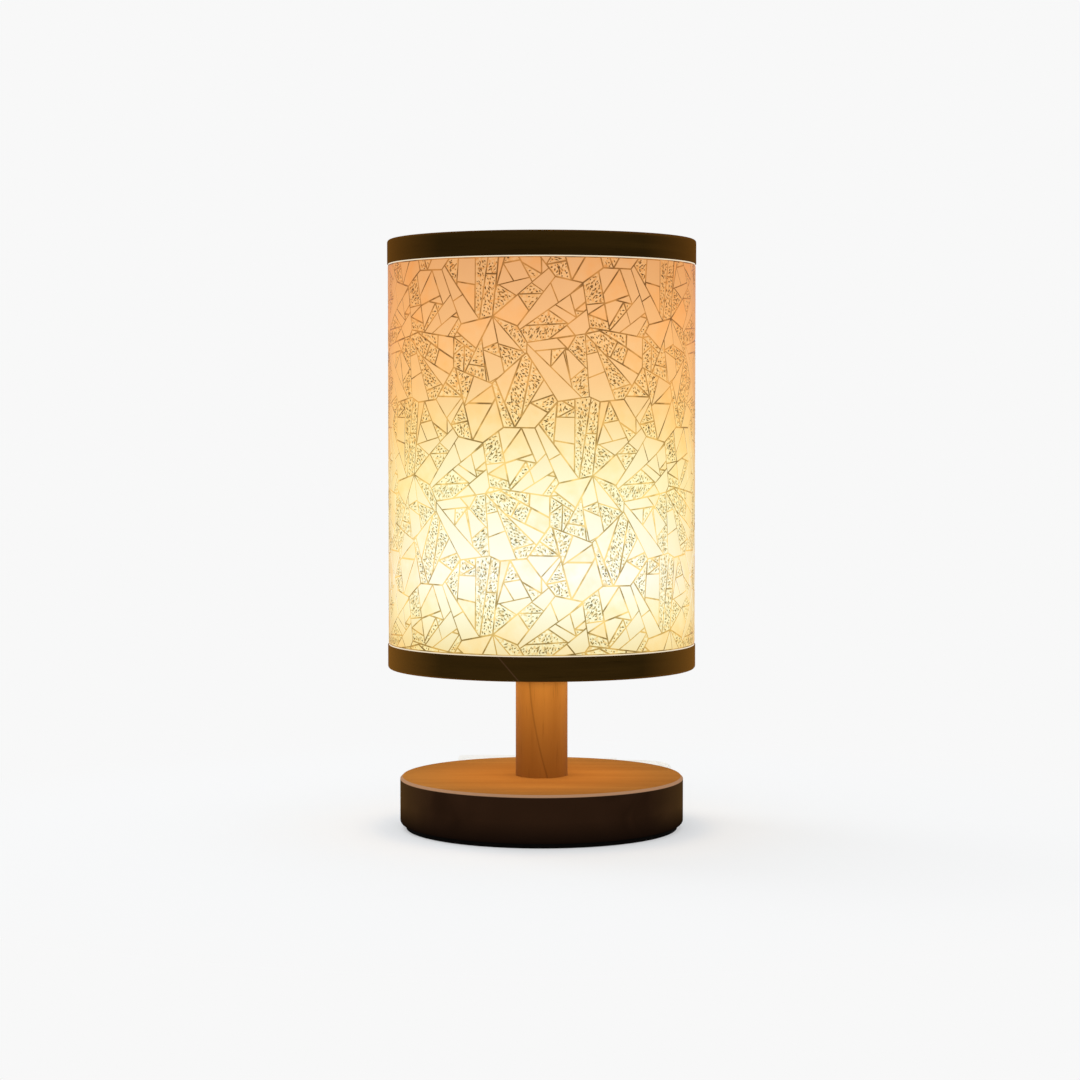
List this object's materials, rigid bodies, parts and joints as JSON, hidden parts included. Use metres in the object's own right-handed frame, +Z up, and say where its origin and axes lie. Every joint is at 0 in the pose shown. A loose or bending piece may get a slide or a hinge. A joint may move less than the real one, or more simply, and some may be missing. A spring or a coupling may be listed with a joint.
{
  "type": "table lamp",
  "caption": "Small table lamp: a glowing drum shade of mosaic sheet between dark wooden hoops, on a round wooden post and base, with a coiled cord, inline switch and flat plug.",
  "frame": {"origin": "centre of the foot pad's underside, where the lamp rests", "axes": "+Z up along the post and the shade, -Y towards the front, +Y towards the back, where the cord leaves the base, +X to the right seen from the front"},
  "size_m": [0.13, 0.2082, 0.248],
  "materials": {
    "dark_wood": "dark brown stained wood, satin",
    "brown_wood": "orange-brown wood, satin lacquer",
    "base_wood": "brown wood with a dark side, satin lacquer",
    "film": "translucent cream sheet with a mosaic in relief",
    "black_pad": "matt foam",
    "zinc_steel": "zinc-plated",
    "white_steel": "white powder coat",
    "brass": "plain",
    "nickel": "nickel-plated",
    "holder_white": "moulded",
    "core_white": "glazed",
    "opal": "opal diffuser",
    "bulb_white": "moulded",
    "bulb_black": "glass-like insulator",
    "board": "solder-masked board",
    "led_board_white": "white solder mask on aluminium",
    "phosphor": "phosphor",
    "cord": "ivory sheath",
    "tie": "ivory strap",
    "case": "ivory moulded",
    "lead_brown": "insulated core",
    "spring_steel": "polished",
    "grommet": "moulded",
    "sleeve": "moulded"
  },
  "bodies": {
    "lamp": {"base_disc": "base_wood", "foot_pad": "black_pad", "stem": "brown_wood", "threaded_tube": "zinc_steel", "tube_washer": "zinc_steel", "tube_nut": "zinc_steel", "cord_grommet": "grommet", "cord_clamp": "zinc_steel", "clamp_screws": "zinc_steel", "lamp_leads": "lead_brown", "holder_cap": "holder_white", "holder_shell": "holder_white", "holder_core": "core_white", "holder_terminals": "brass", "terminal_screws": "zinc_steel", "screw_shell": "brass", "centre_contact": "brass", "shade_ring_nut": "holder_white", "shade_spider": "white_steel", "spider_screws": "zinc_steel", "lower_hoop": "dark_wood", "upper_hoop": "dark_wood", "shade_film": "film", "cord_lamp_side": "cord", "cord_plug_side": "cord", "cord_tie": "tie", "switch_bottom_shell": "case", "switch_top_shell": "case", "rocker_pivot_pin": "spring_steel", "fixed_contacts": "brass", "detent_spring": "spring_steel", "switch_leads": "lead_brown", "switch_screws": "zinc_steel", "plug_body": "case", "plug_pins": "nickel", "pin_sleeves": "sleeve"},
    "bulb": {"bulb_tip_contact": "nickel", "bulb_insulator": "bulb_black", "bulb_cap": "nickel", "bulb_housing": "bulb_white", "driver_board": "board", "led_board": "led_board_white", "led_chips": "phosphor", "bulb_globe": "opal"},
    "rocker": {"switch_rocker": "case", "moving_contact": "brass"}
  },
  "joints": [
    {"name": "bulb_removal", "type": "slide", "parent": "lamp", "child": "bulb", "axis": [0, 0, 1], "range_m": [0, 0.026]},
    {"name": "rocker_switch", "type": "hinge", "parent": "lamp", "child": "rocker", "pos_m": [0.014, 0.084, 0.0093], "axis": [0, 1, 0], "range_deg": [0, 18]}
  ]
}
